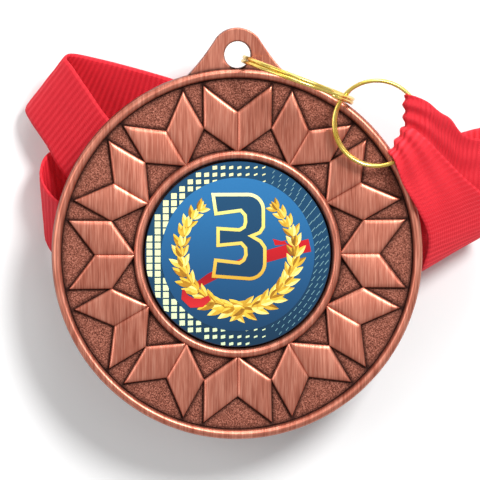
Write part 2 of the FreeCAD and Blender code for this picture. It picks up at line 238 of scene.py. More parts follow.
def copper_material():
    """Antique copper: brushed high faces, stippled ground, dark patina in the grooves.

    Mesh attribute patina is 0 on open faces and 1 in a groove; ground is 1 on the stippled ground."""
    n = Nodes("antique_copper")
    place = n.place()
    patina = n.attribute("patina")
    ground = n.attribute("ground")
    lines = n.noise(n.mapped(place, (5200, 260, 260)), 1.0, 2.0, 0.6)
    broad = n.noise(n.mapped(place, (900, 120, 120)), 1.0, 3.0, 0.6)
    brushed = n.ramp(lines, [(0.30, srgb(150, 74, 56)), (0.48, srgb(202, 118, 96)),
                             (0.70, srgb(240, 170, 146))])
    warm = n.ramp(broad, [(0.30, srgb(164, 86, 66)), (0.75, srgb(230, 150, 125))])
    high = n.mix(0.55, brushed, warm)
    grain = n.noise(place, 5000.0, 4.0, 0.7)
    stipple = n.ramp(grain, [(0.34, srgb(78, 38, 28)), (0.50, srgb(152, 88, 70)),
                             (0.66, srgb(212, 142, 120))])
    base = n.mix(ground, high, stipple)
    cloud = n.noise(place, 420.0, 3.0, 0.6)
    aged = n.math("MULTIPLY", patina, n.math("ADD", 0.75, n.math("MULTIPLY", cloud, 0.5)))
    aged = n.math("MINIMUM", aged, 1.0)
    colour = n.mix(aged, base, srgb(44, 16, 10))
    n.link(colour, n.shader.inputs["Base Color"])
    n.shader.inputs["Metallic"].default_value = 0.78
    rough = n.math("ADD", 0.36, n.math("MULTIPLY", n.math("MAXIMUM", patina, ground), 0.26))
    n.link(rough, n.shader.inputs["Roughness"])
    n.shader.inputs["Anisotropic"].default_value = 0.35
    fine = n.bump(lines, 0.10, 0.05 * MM)
    pitted = n.math("MULTIPLY", grain, ground)
    n.link(n.bump(pitted, 0.75, 0.16 * MM, fine), n.shader.inputs["Normal"])
    return n.material


def gold_material():
    n = Nodes("gold_wire")
    place = n.place()
    cloud = n.noise(place, 500.0, 3.0)
    colour = n.ramp(cloud, [(0.3, srgb(214, 176, 62)), (0.6, srgb(240, 214, 118)),
                            (0.8, srgb(252, 236, 170))])
    n.link(colour, n.shader.inputs["Base Color"])
    n.shader.inputs["Metallic"].default_value = 0.9
    n.shader.inputs["Roughness"].default_value = 0.24
    scratches = n.noise(n.mapped(place, (4000, 4000, 600)), 1.0)
    n.link(n.bump(scratches, 0.08, 0.03 * MM), n.shader.inputs["Normal"])
    return n.material


def ribbon_material():
    """Ribbed polyester weave.

    Attributes: along and across in mm, shade for the painted shade on the under face, gathered where the
    strip is squeezed and the painted shade between the ribs is deeper."""
    n = Nodes("red_grosgrain")
    along = n.attribute("along")
    across = n.attribute("across")
    shade = n.attribute("shade")
    combined = n.add("ShaderNodeCombineXYZ")
    n.link(along, combined.inputs[0])
    n.link(across, combined.inputs[1])
    yarn = n.noise(n.mapped(combined.outputs[0], (9.0, 26.0, 1.0)), 1.0, 2.0)
    rib = n.math("SINE", n.math("MULTIPLY", along, 2 * math.pi / RIB_PITCH_MM))
    warp = n.math("SINE", n.math("MULTIPLY", across, 2 * math.pi / WARP_PITCH_MM))
    cloud = n.noise(n.place(), 160.0, 3.0)
    # the rib stripes in the colour are painted shade in the hollows between the ribs, made deeper where
    # the strip is gathered
    rib_shade_depth = n.math("MULTIPLY_ADD", n.attribute("gathered"), 0.3, 0.16)
    lit = n.ramp(n.math("MULTIPLY_ADD", rib, rib_shade_depth, yarn),
                 [(0.25, srgb(196, 4, 26)), (0.5, srgb(226, 20, 42)), (0.8, srgb(244, 52, 66))])
    tone = n.mix(n.math("MULTIPLY", cloud, 0.25), lit, srgb(232, 22, 44))
    # painted shade: the under face is turned a deeper, darker red to stand for the shade inside the loops
    colour = n.mix(shade, tone, srgb(196, 0, 28))
    n.link(colour, n.shader.inputs["Base Color"])
    n.shader.inputs["Roughness"].default_value = 0.72
    n.shader.inputs["Sheen Weight"].default_value = 0.35
    n.shader.inputs["Sheen Roughness"].default_value = 0.45
    n.shader.inputs["Sheen Tint"].default_value = srgb(255, 70, 84)
    weave = n.math("MULTIPLY_ADD", warp, 0.35, n.math("MULTIPLY", yarn, 0.8))
    n.link(n.bump(weave, 0.5, 0.06 * MM), n.shader.inputs["Normal"])
    return n.material


def print_material(name, stops, low_y, high_y, gloss=0.22):
    """Printed colour from the first stop at low_y to the last at high_y, in mm from the disc's centre."""
    n = Nodes(name)
    split = n.add("ShaderNodeSeparateXYZ")
    n.link(n.place(), split.inputs[0])
    low = MEDAL_Y + low_y * MM
    span = (high_y - low_y) * MM
    height = n.math("DIVIDE", n.math("SUBTRACT", split.outputs[1], low), span)
    colour = n.ramp(height, stops)
    dots = n.noise(n.place(), 5200.0, 1.0)
    colour = n.mix(n.math("MULTIPLY", dots, 0.10), colour, (1, 1, 1, 1), "SOFT_LIGHT")
    n.link(colour, n.shader.inputs["Base Color"])
    n.shader.inputs["Roughness"].default_value = gloss
    n.shader.inputs["Specular IOR Level"].default_value = 0.4
    return n.material


def laurel_material():
    """Printed gold leaves: each leaf has its own tone and runs from dark to light across it."""
    n = Nodes("printed_laurel")
    tone = n.attribute("tone")
    mottled = n.noise(n.place(), 1500.0, 2.0)
    factor = n.math("ADD", n.math("MULTIPLY", tone, 0.75), n.math("MULTIPLY", mottled, 0.3))
    colour = n.ramp(factor, [(0.08, srgb(104, 60, 8)), (0.32, srgb(176, 122, 22)),
                             (0.58, srgb(232, 190, 60)), (0.95, srgb(252, 240, 150))])
    n.link(colour, n.shader.inputs["Base Color"])
    n.shader.inputs["Roughness"].default_value = 0.25
    return n.material


# ---- mesh helpers ----

def add_object(name, mesh, material, smooth=True):
    piece = bpy.data.objects.new(name, mesh)
    bpy.context.scene.collection.objects.link(piece)
    mesh.materials.append(material)
    if smooth:
        mesh.shade_smooth()
    return piece


def set_attribute(mesh, name, values):
    layer = mesh.attributes.new(name, "FLOAT", "POINT")
    layer.data.foreach_set("value", np.asarray(values, dtype=np.float32))


def face_outwards(mesh):
    bm = bmesh.new()
    bm.from_mesh(mesh)
    bmesh.ops.recalc_face_normals(bm, faces=bm.faces)
    bm.to_mesh(mesh)
    bm.free()


def grid_faces(rows, columns, wrap_columns=False, offset=0):
    """Quads of a rows by columns grid of points, row by row."""
    faces = []
    last = columns if wrap_columns else columns - 1
    for r in range(rows - 1):
        for c in range(last):
            following = (c + 1) % columns
            a = offset + r * columns
            b = offset + (r + 1) * columns
            faces.append((a + c, a + following, b + following, b + c))
    return faces


def prism(points, low, high):
    """Vertices and faces of a flat closed solid.

    points are (x, y) in mm from the disc's centre, low and high are in metres."""
    count = len(points)
    vertices = [Vector((MEDAL_X + x * MM, MEDAL_Y + y * MM, z)) for z in (low, high) for x, y in points]
    faces = [tuple(range(count - 1, -1, -1)), tuple(range(count, 2 * count))]
    for k in range(count):
        following = (k + 1) % count
        faces.append((k, following, count + following, count + k))
    return vertices, faces


def prisms_object(name, outlines, low, high, material, tones=None, rise=0.0):
    """Many flat shapes as one piece, each of them rise higher than the one before.

    Each outline runs counter-clockwise."""
    vertices = []
    faces = []
    tone = []
    for k, outline in enumerate(outlines):
        own, own_faces = prism(outline, low, high + rise * k)
        faces += [tuple(i + len(vertices) for i in face) for face in own_faces]
        vertices += own
        tone += [tones[k] if tones else 0.5] * len(own)
    mesh = bpy.data.meshes.new(name)
    mesh.from_pydata(vertices, [], faces)
    mesh.update()
    set_attribute(mesh, "tone", tone)
    return add_object(name, mesh, material, smooth=False)


def arc_points(x, y, radius, start, end, count):
    """Points on an arc, angles in degrees."""
    angles = [math.radians(start + (end - start) * k / (count - 1)) for k in range(count)]
    return [(x + radius * math.cos(a), y + radius * math.sin(a)) for a in angles]


def inset(points, distance):
    """The outline moved inwards by distance (counter-clockwise points)."""
    out = []
    count = len(points)
    for k in range(count):
        before = Vector(points[k - 1])
        here = Vector(points[k])
        after = Vector(points[(k + 1) % count])
        first = (here - before).normalized()
        second = (after - here).normalized()
        normal = Vector((-first.y - second.y, first.x + second.x))
        size = normal.length
        if size < 1e-6:
            normal = Vector((-first.y, first.x))
            size = 1.0
        normal /= size
        slant = max(normal.dot(Vector((-first.y, first.x))), 0.45)
        moved = here + normal * (distance / slant)
        out.append((moved.x, moved.y))
    return out


# ---- the medal's body ----

PAIRS = 12
SIDE_R = 17.54      # two neighbouring pairs meet at this radius, half a pair's turn to the side
HALF_PAIR = math.radians(180.0 / PAIRS)
STAR = {            # one rhombus of the pair at the top, mm from the disc's centre
    "inner": (0.0, 13.75), "side": (SIDE_R * math.sin(HALF_PAIR), SIDE_R * math.cos(HALF_PAIR)),
    "outer": (4.61, 22.69), "notch": (0.0, 19.19),
}
FIELD_H = 1.45      # heights in mm above the medal's back
WALL_SINK = 0.14    # how far a rhombus's wall goes below the ground
RIM_H = (FRONT_Z - BACK_Z) / MM
RHOMBUS_EDGE_H = 1.86
RHOMBUS_TOP_H = 2.12
RECESS_H = 1.1      # floor of the emblem's recess
BACK_RECESS_H = 0.25
TAB_TOP_H = 2.0
DISC_R = 25.0
DISC_STEPS = 720
GROUND_INNER_R, GROUND_OUTER_R = 14.06, 23.6    # the stippled ground, between the bead and the rim
BEVEL = 0.42        # width of a rhombus's bevelled edge
WALL_LEAN = 0.07    # how far a rhombus's wall leans outwards
EYE_Y, EYE_R = 26.83, 1.80
TAB_TIP_R = 3.62


def rhombus_corners():
    """Corners of the 24 rhombi, each counter-clockwise from its inner tip."""
    corners = []
    for pair in range(PAIRS):
        turn = math.radians(360.0 / PAIRS * pair)
        cosine, sine = math.cos(turn), math.sin(turn)
        for side in (1, -1):
            four = []
            for key in ("inner", "side", "outer", "notch"):
                x, y = STAR[key]
                x *= side
                four.append((x * cosine - y * sine, x * sine + y * cosine))
            corners.append(four if side > 0 else [four[0], four[3], four[2], four[1]])
    return corners


def distance_to_rhombi(x, y, corners):
    """Smallest distance in mm from points to the rhombi's edges."""
    best = np.full(x.shape, 99.0)
    for four in corners:
        for k in range(4):
            ax, ay = four[k]
            bx, by = four[(k + 1) % 4]
            ex, ey = bx - ax, by - ay
            u = np.clip(((x - ax) * ex + (y - ay) * ey) / (ex * ex + ey * ey), 0, 1)
            best = np.minimum(best, np.hypot(x - ax - u * ex, y - ay - u * ey))
    return best


def disc_profile():
    """Radius, height, patina and ground of the disc's surface, from the recess round to the back."""
    profile = []

    def crest(inner, outer, base_in, base_out, top, count):
        middle = (inner + outer) / 2
        half = (outer - inner) / 2
        for k in range(count):
            angle = math.pi * (1 - k / (count - 1))
            base = base_in if angle > math.pi / 2 else base_out
            rise = math.sin(angle) ** 0.7
            dark = (1 - rise) ** 1.2
            profile.append((middle + half * math.cos(angle), base + (top - base) * rise, dark, 0.0))

    profile += [(0.02, RECESS_H, 0.9, 0.0), (12.6, RECESS_H, 1.0, 0.0)]
    crest(12.72, 14.02, RECESS_H, FIELD_H, RIM_H - 0.06, 15)           # the bead
    for radius in np.linspace(GROUND_INNER_R, GROUND_OUTER_R, 74):
        profile.append((radius, FIELD_H, 0.0, 1.0))
    profile.append((23.66, FIELD_H, 1.0, 0.6))
    crest(23.72, DISC_R, FIELD_H, 1.55, RIM_H, 17)                     # the rim
    profile += [(DISC_R, 1.2, 0.62, 0.0), (DISC_R, 0.22, 0.55, 0.0), (24.94, 0.08, 0.5, 0.0),
                (24.8, 0.0, 0.2, 0.0), (22.8, 0.0, 0.1, 0.0), (22.6, 0.06, 0.8, 0.0),
                (22.5, BACK_RECESS_H, 0.6, 1.0)]
    for radius in (18.0, 12.0, 6.0, 0.02):
        profile.append((radius, BACK_RECESS_H, 0.12, 1.0))
    return profile


def build_disc(vertices, faces, patina, ground, corners):
    """The turned disc, with the ground sunk and darkened along the rhombi's feet."""
    around = DISC_STEPS
    profile = disc_profile()
    angles = np.linspace(0, 2 * math.pi, around, endpoint=False)
    for radius, height, dark, grain in profile:
        x = radius * np.cos(angles)
        y = radius * np.sin(angles)
        z = np.full(around, height)
        own = np.full(around, dark)
        if GROUND_INNER_R <= radius <= GROUND_OUTER_R and grain == 1.0 and height == FIELD_H:
            near = distance_to_rhombi(x, y, corners)
            walls = np.minimum(radius - 13.95, 23.75 - radius)
            own = 0.95 * np.exp(-(near / 0.34) ** 1.4) + 0.85 * np.exp(-(walls / 0.42) ** 1.5) + 0.12
            z = z - 0.10 * np.exp(-(near / 0.3) ** 2)
        vertices += [(MEDAL_X + a * MM, MEDAL_Y + b * MM, BACK_Z + c * MM) for a, b, c in zip(x, y, z)]
        patina += list(np.clip(own, 0, 1))
        ground += [grain] * around
    faces += grid_faces(len(profile), around, wrap_columns=True)
    faces.append(tuple(range(around - 1, -1, -1)))
    first = (len(profile) - 1) * around
    faces.append(tuple(range(first, first + around)))


def build_rhombi(vertices, faces, patina, ground, corners):
    """Each rhombus is a low pillow with bevelled edges on a steep wall, closed underneath."""
    steps = [0, 0.03, 0.07, 0.13, 0.22, 0.34, 0.5, 0.66, 0.78, 0.87, 0.93, 0.97, 1]
    n = len(steps)
    for four in corners:
        offset = len(vertices)
        a, b, c, d = (np.array(p) for p in four)
        side = np.hypot(*(b - a))
        tall = abs((b - a)[0] * (d - a)[1] - (b - a)[1] * (d - a)[0]) / side
        for u in steps:
            for v in steps:
                point = a * (1 - u) * (1 - v) + b * u * (1 - v) + c * u * v + d * (1 - u) * v
                edge = min(u, 1 - u, v, 1 - v) * tall
                bevel = 1 - (1 - min(edge / BEVEL, 1.0)) ** 2
                crown = 16 * u * (1 - u) * v * (1 - v)
                height = RHOMBUS_EDGE_H + (RHOMBUS_TOP_H - RHOMBUS_EDGE_H) * (0.62 * bevel + 0.38 * crown)
                vertices.append((MEDAL_X + point[0] * MM, MEDAL_Y + point[1] * MM, BACK_Z + height * MM))
                patina.append(0.22 * (1 - bevel) ** 2)
                ground.append(0.0)
        faces += grid_faces(n, n, offset=offset)
        rim = [r * n for r in range(n)] + [(n - 1) * n + q for q in range(1, n)]
        rim += [r * n + n - 1 for r in range(n - 2, -1, -1)] + list(range(n - 2, 0, -1))
        centre = (a + b + c + d) / 4
        foot = len(vertices)
        for index in rim:
            x, y, _ = vertices[offset + index]
            px = (x - MEDAL_X) / MM
            py = (y - MEDAL_Y) / MM
            out = np.array([px, py]) - centre
            out = out / np.hypot(*out) * WALL_LEAN
            vertices.append((MEDAL_X + (px + out[0]) * MM, MEDAL_Y + (py + out[1]) * MM,
                             BACK_Z + (FIELD_H - WALL_SINK) * MM))
            patina.append(1.0)
            ground.append(0.0)
        count = len(rim)
        for k in range(count):
            following = (k + 1) % count
            faces.append((offset + rim[k], offset + rim[following], foot + following, foot + k))
        faces.append(tuple(foot + k for k in range(count)))


def tab_outline():
    """The tab's outline, counter-clockwise: round tip, concave flanks into the rim."""
    tip = arc_points(0, EYE_Y, TAB_TIP_R, 40, 140, 33)
    flank = []
    start = Vector(tip[-1])
    end = Vector((-7.4, 23.3))
    for k in range(1, 15):
        u = k / 14
        point = start.lerp(end, u)
        sag = 0.22 * math.sin(math.pi * u)
        flank.append((point.x + 0.75 * sag, point.y - 0.65 * sag))
    mirrored = [(-x, y) for x, y in reversed(flank)]
    foot = arc_points(0, 0, 24.35, 106.5, 73.5, 17)      # under the rim
    return mirrored + tip + flank + foot


def build_tab(vertices, faces, patina, ground):
    """A plate with eased edges and the eyelet, as rings of points round the hole."""
    top = TAB_TOP_H
    outline = tab_outline()
    count = len(outline)
    dense = []
    for k in range(count):
        a = Vector(outline[k])
        b = Vector(outline[(k + 1) % count])
        pieces = max(1, round((b - a).length / 0.25))
        dense += [tuple(a.lerp(b, j / pieces)) for j in range(pieces)]
    count = len(dense)
    angles = [math.atan2(y - EYE_Y, x) for x, y in dense]
    rings = []
    # share of the way from hole to edge, height, patina, and outward shift in mm
    section = [
        (0.0, 0.0, 0.6, 0.0), (0.0, top - 0.2, 0.9, 0.0), (0.0, top - 0.05, 0.5, 0.05),
        (0.0, top, 0.22, 0.16),
        (0.12, top, 0.10, 0), (0.3, top, 0.0, 0), (0.5, top, 0.0, 0), (0.7, top, 0.0, 0),
        (0.9, top, 0.0, 0),
        (1.0, top, 0.05, -0.14), (1.0, top - 0.05, 0.3, -0.04), (1.0, top - 0.2, 0.6, 0.0),
        (1.0, 0.15, 0.7, 0.0), (1.0, 0.0, 0.4, -0.12), (0.5, 0.0, 0.1, 0),
    ]
    for share, height, dark, extra in section:
        ring = []
        for (x, y), angle in zip(dense, angles):
            hx = EYE_R * math.cos(angle)
            hy = EYE_Y + EYE_R * math.sin(angle)
            px = hx + (x - hx) * share
            py = hy + (y - hy) * share
            length = math.hypot(x - hx, y - hy)
            px += (x - hx) / length * extra
            py += (y - hy) / length * extra
            ring.append((px, py, height, dark))
        rings.append(ring)
    offset = len(vertices)
    for ring in rings:
        for px, py, height, dark in ring:
            vertices.append((MEDAL_X + px * MM, MEDAL_Y + py * MM, BACK_Z + height * MM))
            beyond = max(math.hypot(px, py) - DISC_R, 0.0)
            near_rim = math.exp(-(beyond / 0.32) ** 1.3) if height > 1 else 0.0
            patina.append(min(1.0, dark + 0.95 * near_rim))
            ground.append(0.0)
    total = len(rings)
    for r in range(total):
        following = (r + 1) % total
        for k in range(count):
            after = (k + 1) % count
            faces.append((offset + r * count + k, offset + r * count + after,
                          offset + following * count + after, offset + following * count + k))


def make_medal(copper):
    vertices, faces, patina, ground = [], [], [], []
    corners = rhombus_corners()
    build_disc(vertices, faces, patina, ground, corners)
    build_rhombi(vertices, faces, patina, ground, corners)
    build_tab(vertices, faces, patina, ground)
    mesh = bpy.data.meshes.new("medal_relief")
    mesh.from_pydata(vertices, [], faces)
    mesh.update()
    set_attribute(mesh, "patina", patina)
    set_attribute(mesh, "ground", ground)
    medal = add_object("medal_relief", mesh, copper)
    face_outwards(mesh)
    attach(medal, "medal")
    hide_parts("medal_body")


# ---- the printed emblem, each colour its own thin layer ----

LAYER = 0.02 * MM
EMBLEM_R = 12.5
INNER_DISC_R = 10.34
PRINT_R = 12.44     # nothing printed goes beyond this
CELL_X, CELL_Y = 1.10, 0.95         # pitch of the halftone's cells
SLASHES = 26        # in each of the rings of thin strokes
LEAF_GROUPS = 15    # along each branch of the laurel
LAUREL_R, LAUREL_Y = 7.75, 0.35


def circle_outline(radius, count=180, x=0.0, y=0.0):
    return arc_points(x, y, radius, 0, 360 * (count - 1) / count, count)


def numeral_outline():
    """A plain block numeral 3, counter-clockwise, in mm."""
    right = []
    right += arc_points(1.35, 6.0, 2.3, 90, 0, 9)             # upper shoulder
    right += [(3.65, 3.6)]
    right += [(3.1, 2.75), (2.3, 2.45), (3.2, 1.95), (3.85, 1.0)]
    right += arc_points(1.55, -1.2, 2.3, 0, -90, 9)           # lower shoulder
    left = [(-3.55, -3.1), (-3.2, -0.5), (0.15, -0.9), (0.6, -0.6), (0.85, 0.0), (0.8, 0.8), (0.35, 1.3),
            (-2.9, 1.0), (-2.9, 3.75), (0.15, 3.55), (0.65, 3.85), (0.8, 4.4), (0.75, 5.2), (0.3, 5.7),
            (-3.15, 5.25), (-3.6, 8.3)]
    return list(reversed(right + left))


def leaf_outline(x, y, direction, length, width):
    """A pointed leaf from its root at x, y."""
    side = 7
    along = Vector((math.cos(direction), math.sin(direction)))
    over = Vector((-along.y, along.x))
    points = []
    for k in range(side + 1):
        u = k / side
        half = width / 2 * math.sin(math.pi * u ** 0.8) ** 0.9 if 0 < u < 1 else 0.0
        points.append((u, -half))
    for k in range(side - 1, 0, -1):
        u = k / side
        half = width / 2 * math.sin(math.pi * u ** 0.8) ** 0.9
        points.append((u, half))
    return [(x + along.x * u * length + over.x * h, y + along.y * u * length + over.y * h)
            for u, h in points]


def half_leaf(outline):
    """The lit half of a leaf: the points on one side of its midrib."""
    count = len(outline) // 2
    return outline[:count + 1] + [tuple((Vector(outline[0]) * 0.5 + Vector(outline[count]) * 0.5))]


def laurel():
    """Two branches on a circle, leaves in fours: outer, inner and two along the stem."""
    chance = random.Random(3)
    leaves = []
    tones = []
    for mirror in (1, -1):
        for k in range(LEAF_GROUPS):
            u = k / (LEAF_GROUPS - 1)
            angle = math.radians(-97 + 143 * u)
            x = LAUREL_R * math.cos(angle)
            y = LAUREL_Y + LAUREL_R * math.sin(angle)
            heading = angle + math.pi / 2
            size = 2.7 - 0.9 * u
            for lean, scale in ((-0.6, 1.0), (0.62, 0.95), (0.25, 0.8), (-0.2, 0.85)):
                direction = heading + lean + chance.uniform(-0.14, 0.14)
                outline = leaf_outline(x, y, direction, size * scale, 0.98 * scale * (1 - 0.25 * u))
                tone = chance.uniform(0.05, 0.7)
                if mirror < 0:
                    outline = [(-px, py) for px, py in reversed(outline)]
                leaves.append(outline)
                tones.append(tone)
    return leaves, tones


def held_inside(x, y, radius):
    """The point, or where its radius meets the circle if it lies outside."""
    scale = min(1.0, radius / math.hypot(x, y))
    return (x * scale, y * scale)


def halftone():
    """Cells of the printed edge: large at the left, flattening to dashes above and below; the thin
    slashes at the right come from slashes().
    """
    cells = []
    columns = int(PRINT_R / CELL_X) + 1
    rows = int(PRINT_R / CELL_Y) + 1
    for row in range(-rows, rows + 1):
        for column in range(-columns, columns + 1):
            x = column * CELL_X + 0.2
            y = row * CELL_Y + 0.3
            share = max(0.0, min(1.0, (6.0 - x) / 15.0))
            if share < 0.12:
                continue
            wide = CELL_X * (0.34 + 0.36 * share)
            tall = CELL_Y * (0.08 + 0.74 * share ** 1.1)
            slant = 0.22 * (1 - share)
            cell = [(x - wide / 2, y - tall / 2 - slant / 2), (x + wide / 2, y - tall / 2 + slant / 2),
                    (x + wide / 2, y + tall / 2 + slant / 2), (x - wide / 2, y + tall / 2 - slant / 2)]
            if INNER_DISC_R - 0.15 < math.hypot(x, y) < 12.25:
                cells.append([held_inside(*corner, PRINT_R) for corner in cell])
    return cells


def slashes():
    """Thin strokes at the right of the printed edge."""
    strokes = []
    for ring in (10.75, 11.45, 12.1):
        for k in range(SLASHES):
            angle = math.radians(-64 + 128 * k / (SLASHES - 1) + (ring - 10.75) * 1.8)
            x = ring * math.cos(angle)
            y = ring * math.sin(angle)
            fade = math.cos(angle) ** 2
            reach, thin = 0.16 + 0.16 * fade, 0.05
            if math.hypot(x, y) + reach < 12.45:
                strokes.append([(x - reach - thin, y - reach), (x - reach + thin, y - reach),
                                (x + reach * 0.6 + thin, y + reach), (x + reach * 0.6 - thin, y + reach)])
    return strokes


def ordered(outline):
    """The outline, counter-clockwise."""
    area = sum(x0 * y1 - x1 * y0 for (x0, y0), (x1, y1) in zip(outline, outline[1:] + outline[:1]))
    return outline if area > 0 else list(reversed(outline))


def band(points, widths):
    """A flat band along points, with its own width at each."""
    left, right = [], []
    for k, (x, y) in enumerate(points):
        before = Vector(points[max(k - 1, 0)])
        after = Vector(points[min(k + 1, len(points) - 1)])
        along = (after - before).normalized()
        half = widths[k] / 2
        left.append((x - along.y * half, y + along.x * half))
        right.append((x + along.y * half, y - along.x * half))
    return ordered(left + list(reversed(right)))


def emblem_piece(name, outlines, level, material, tones=None, rise=0.0):
    base = EMBLEM_Z + LAYER * (level - 1)
    turned = [ordered(outline) for outline in outlines]
    piece = prisms_object(name, turned, base, base + LAYER, material, tones, rise)
    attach(piece, "medal")
    return piece


def make_emblem():
    navy = srgb(20, 62, 92)
    deep = srgb(14, 46, 70)
    blue = srgb(38, 104, 156)
    cream = srgb(238, 238, 176)
    ground = print_material("printed_navy", [(0.0, deep), (0.5, navy), (1.0, srgb(24, 68, 100))],
                            -EMBLEM_R, EMBLEM_R)
    inner = print_material("printed_blue", [(0.0, srgb(17, 56, 88)), (0.4, srgb(28, 80, 124)),
                                            (0.8, blue), (1.0, srgb(42, 110, 164))],
                           -INNER_DISC_R, INNER_DISC_R)
    cells = print_material("printed_cream", [(0.0, srgb(206, 222, 180)), (1.0, cream)], -12, 12)
    rim = print_material("printed_outline", [(0.0, srgb(206, 156, 46)), (0.3, srgb(226, 190, 84)),
                                             (0.75, srgb(226, 222, 120)), (1.0, srgb(244, 244, 180))],
                         -3.5, 8.3)
    fill = print_material("printed_numeral", [(0.0, srgb(20, 56, 86)), (1.0, srgb(26, 70, 104))],
                          -3.5, 8.3)
    red = print_material("printed_red", [(0.0, srgb(206, 40, 44)), (0.45, srgb(150, 14, 26)),
                                         (1.0, srgb(196, 26, 34))], -7.5, 2.2)

    plate = bpy.data.meshes.new("emblem_disc")
    # radius, and share of the plate's thickness
    section = [(EMBLEM_R - 0.08, 0.0), (EMBLEM_R, 0.08), (EMBLEM_R, 0.88), (EMBLEM_R - 0.08, 1.0)]
    around = 180
    vertices = []
    for radius, height in section:
        for x, y in circle_outline(radius, around):
            level = plate_low[2] + height * (EMBLEM_Z - plate_low[2] - LAYER)
            vertices.append((MEDAL_X + x * MM, MEDAL_Y + y * MM, level))
    count = len(section)
    faces = grid_faces(count, around, wrap_columns=True)
    faces += [tuple(range(around - 1, -1, -1)), tuple(range((count - 1) * around, count * around))]
    plate.from_pydata(vertices, [], faces)
    plate.update()
    disc = add_object("emblem_disc", plate, ground, smooth=False)
    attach(disc, "medal")
    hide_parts("emblem_plate")

    emblem_piece("emblem_halftone", halftone(), 1, cells)
    faint = print_material("printed_faint", [(0.0, srgb(104, 150, 160)), (1.0, srgb(130, 170, 174))],
                           -12, 12)
    emblem_piece("emblem_slashes", slashes(), 1, faint)
    emblem_piece("emblem_inner_disc", [circle_outline(INNER_DISC_R)], 1.5, inner)
    band_path = [(9.7, 1.2), (7.6, 0.75), (5.4, 0.15), (3.6, -0.35), (1.0, -1.1), (-1.6, -2.0),
                 (-3.8, -3.1), (-5.6, -4.2), (-6.9, -4.9)]
    band_back = band(band_path, [1.75, 1.65, 1.6, 1.6, 1.4, 1.2, 1.15, 0.8, 0.35])
    curl = band([(-7.35, -4.7), (-7.2, -5.7), (-6.2, -6.5), (-4.9, -6.5), (-3.8, -5.8)],
                [0.3, 1.0, 1.35, 1.2, 0.7])
    tail = [(5.0, 1.2), (6.7, 1.35), (6.3, 1.75), (7.3, 2.05), (5.9, 1.75), (4.7, 2.1)]
    emblem_piece("emblem_band", [band_back, tail], 2.1, red)
    leaves, tones = laurel()
    shapes = []
    shades = []
    for leaf, tone in zip(leaves, tones):
        shapes += [leaf, half_leaf(leaf)]
        shades += [tone, min(1.0, tone + 0.35)]
    emblem_piece("emblem_laurel", shapes, 2.7, laurel_material(), shades, LAYER * 0.008)
    emblem_piece("emblem_curl", [curl], 4.5, red)
    numeral = numeral_outline()
    emblem_piece("emblem_numeral_edge", [numeral], 4.5, rim)
    emblem_piece("emblem_numeral", [inset(ordered(numeral), 0.46)], 5.1, fill)


# ---- split rings ----

WIRE_R = 0.275 * MM
WIRE_SIDES = 14
STEPS_PER_TURN = 90
# how far the turns part, angle of the wire's first end in radians, number of turns
LINK_COIL = (0.0, 0.6, 2.0)
RIBBON_COIL = (0.24 * MM, 2.05, 1.55)


def ring_mesh(name, centre, axis, start, radius, splay, first_turn, turns, gold):
    """A flat coil of wire. first_turn is counted from start, and the turns part by splay away from it."""
    axis = axis.normalized()
    start = (start - axis * start.dot(axis)).normalized()
    across = axis.cross(start)
    steps = int(STEPS_PER_TURN * turns)
    sides = WIRE_SIDES
    vertices = []
    for k in range(steps + 1):
        u = k / steps
        angle = first_turn + turns * 2 * math.pi * u
        swing = 1 / (1 + math.exp(-(u - 0.5) * 26))
        level = (swing * 2 - 1) * WIRE_R * 1.03
        spread = splay * swing
        radial = start * math.cos(angle) + across * math.sin(angle)
        middle = centre + radial * radius + axis * level - start * spread
        taper = 1.0 if 0 < k < steps else 0.55
        for s in range(sides):
            turn = 2 * math.pi * s / sides
            vertices.append(middle + (radial * math.cos(turn) + axis * math.sin(turn)) * WIRE_R * taper)
    faces = grid_faces(steps + 1, sides, wrap_columns=True)
    faces.append(tuple(range(sides - 1, -1, -1)))
    faces.append(tuple(range(steps * sides, steps * sides + sides)))
    mesh = bpy.data.meshes.new(name)
    mesh.from_pydata(vertices, [], faces)
    mesh.update()
    return add_object(name, mesh, gold)


def make_rings():
    """Both split rings, each on the axis and at the size that the frame gives its ring."""
    gold = gold_material()
    joints = {joint["name"]: joint for joint in frame["joints"]}
    link_centre = Vector(joints["link_ring_turn"]["pos_m"])
    link_axis = Vector(joints["link_ring_turn"]["axis"])
    link_radius = (link_high[2] - link_low[2]) / 2 - WIRE_R
    ring = ring_mesh("link_split_ring", link_centre, link_axis, Vector((0, 0, 1)), link_radius,
                     *LINK_COIL, gold)
    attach(ring, "link_ring")
    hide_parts("link_ring")
    centre = Vector([(low + high) / 2 for low, high in zip(ring_low, ring_high)])
    radius = (ring_high[0] - ring_low[0]) / 2 - WIRE_R
    ring = ring_mesh("ribbon_split_ring", centre, Vector((0, 0, 1)), Vector((1, 0.2, 0)), radius,
                     *RIBBON_COIL, gold)
    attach(ring, "ribbon_ring")
    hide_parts("ribbon_ring")


# ---- the ribbon, one strip from end to end ----

RIBBON_WIDTH = 11.0 * MM
RIBBON_THICKNESS = 0.45 * MM
RIB_PITCH_MM = 0.78
WARP_PITCH_MM = 0.34
HANK_LAYERS = 19
COLUMNS = 25                       # points across the strip
FINE_STEP, COARSE_STEP = 0.11 * MM, 0.5 * MM    # along it, where it is seen and in the hidden stack
PLEATS = 2.5                       # across the strip where it is gathered
PLEAT_DEPTH = 0.34 * MM
FLOOR_GAP = 0.03 * MM

